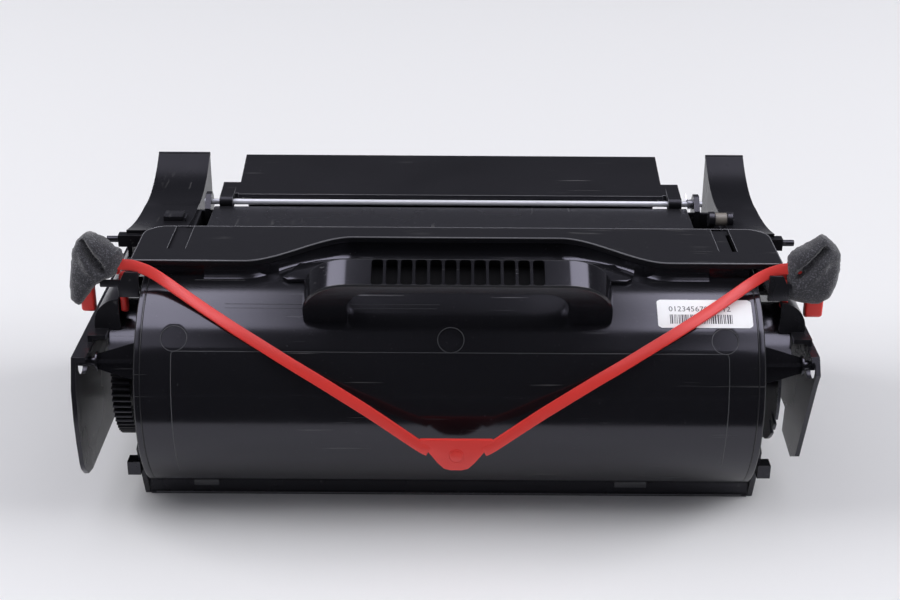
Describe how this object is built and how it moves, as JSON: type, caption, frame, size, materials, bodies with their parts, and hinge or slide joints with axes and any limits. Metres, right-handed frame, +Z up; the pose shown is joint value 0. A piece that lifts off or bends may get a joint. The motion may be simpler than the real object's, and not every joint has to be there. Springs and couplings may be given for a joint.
{
  "type": "toner cartridge",
  "caption": "Laser printer toner cartridge: round hopper with carrying handle, geared rollers, a drum behind a sprung shutter, and a red shipping strap.",
  "frame": {"origin": "the pan's flat underside, straight below the hopper's axis and midway between the end walls", "axes": "+X to the right along the hopper, +Y to the back, +Z up"},
  "size_m": [0.356, 0.2018, 0.1335],
  "materials": {
    "hopper_plastic": "gloss black, moulded",
    "cover_plastic": "satin black, scuffed",
    "frame_plastic": "semi-gloss black, moulded",
    "gear_plastic": "satin black acetal",
    "wheel_plastic": "satin black",
    "steel": "plain drawn steel",
    "drum_coating": "coated, smooth",
    "roller_rubber": "fine matt rubber",
    "roller_foam": "open foam",
    "blade_rubber": "translucent urethane",
    "strap_plastic": "satin red",
    "foam": "speckled dark foam",
    "label_paper": "white coated label"
  },
  "bodies": {
    "base": {"hopper_shell": "hopper_plastic", "hopper_end_left": "hopper_plastic", "hopper_end_right": "hopper_plastic", "hopper_cover": "cover_plastic", "carry_handle": "hopper_plastic", "pin_arm_left": "hopper_plastic", "pin_arm_right": "hopper_plastic", "drum_axle": "steel", "developer_frame": "frame_plastic", "doctor_blade": "steel", "drum_frame": "frame_plastic", "side_cover_left": "frame_plastic", "side_cover_right": "frame_plastic", "guide_horn_left": "frame_plastic", "guide_horn_right": "frame_plastic", "locating_pin_left": "frame_plastic", "locating_pin_right": "frame_plastic", "waste_housing": "frame_plastic", "waste_cover": "frame_plastic", "cleaning_bracket": "steel", "cleaning_blade": "blade_rubber", "shutter_rod": "steel", "barcode_label": "label_paper", "shipping_strap": "strap_plastic", "foam_sleeve_left": "foam", "foam_sleeve_right": "foam", "cover_screws": "steel"},
    "paddle": {"paddle_shaft": "gear_plastic", "paddle_blade": "gear_plastic", "encoder_wheel": "wheel_plastic", "paddle_gear": "gear_plastic"},
    "idler": {"idler_gear": "gear_plastic"},
    "developer": {"developer_roller": "roller_rubber", "developer_shaft": "steel", "developer_gear": "gear_plastic"},
    "adder": {"adder_roller": "roller_foam", "adder_shaft": "steel", "adder_gear": "gear_plastic"},
    "drum": {"photoconductor_drum": "drum_coating", "drum_gear": "gear_plastic", "drum_flange": "gear_plastic"},
    "charger": {"charge_roller": "roller_rubber", "charge_shaft": "steel"},
    "shutter": {"drum_shutter": "cover_plastic"}
  },
  "joints": [
    {"name": "drum_spin", "type": "hinge", "parent": "base", "child": "drum", "pos_m": [0, 0.098, 0.027], "axis": [1, 0, 0], "continuous": true},
    {"name": "developer_spin", "type": "hinge", "parent": "base", "child": "developer", "pos_m": [0, 0.07308, 0.025], "axis": [1, 0, 0], "continuous": true},
    {"name": "adder_spin", "type": "hinge", "parent": "base", "child": "adder", "pos_m": [0, 0.05747, 0.01827], "axis": [1, 0, 0], "continuous": true},
    {"name": "idler_spin", "type": "hinge", "parent": "base", "child": "idler", "pos_m": [0, 0.05124, 0.04557], "axis": [1, 0, 0], "continuous": true},
    {"name": "paddle_spin", "type": "hinge", "parent": "base", "child": "paddle", "pos_m": [0, 0, 0.057], "axis": [1, 0, 0], "continuous": true},
    {"name": "charge_spin", "type": "hinge", "parent": "base", "child": "charger", "pos_m": [0, 0.1017, 0.04798], "axis": [1, 0, 0], "continuous": true},
    {"name": "shutter_hinge", "type": "hinge", "parent": "base", "child": "shutter", "pos_m": [0, 0.088, 0.1106], "axis": [1, 0, 0], "range_deg": [0, 65], "stiffness_Nm_per_rad": 0.02, "springref_deg": -34.38}
  ],
  "couplings": [
    {"joint": "developer_spin", "follows": "drum_spin", "ratio": -2.125},
    {"joint": "idler_spin", "follows": "drum_spin", "ratio": 0.77273},
    {"joint": "paddle_spin", "follows": "drum_spin", "ratio": -0.55738},
    {"joint": "adder_spin", "follows": "drum_spin", "ratio": -2.8333},
    {"joint": "charge_spin", "follows": "drum_spin", "ratio": -2.5}
  ]
}
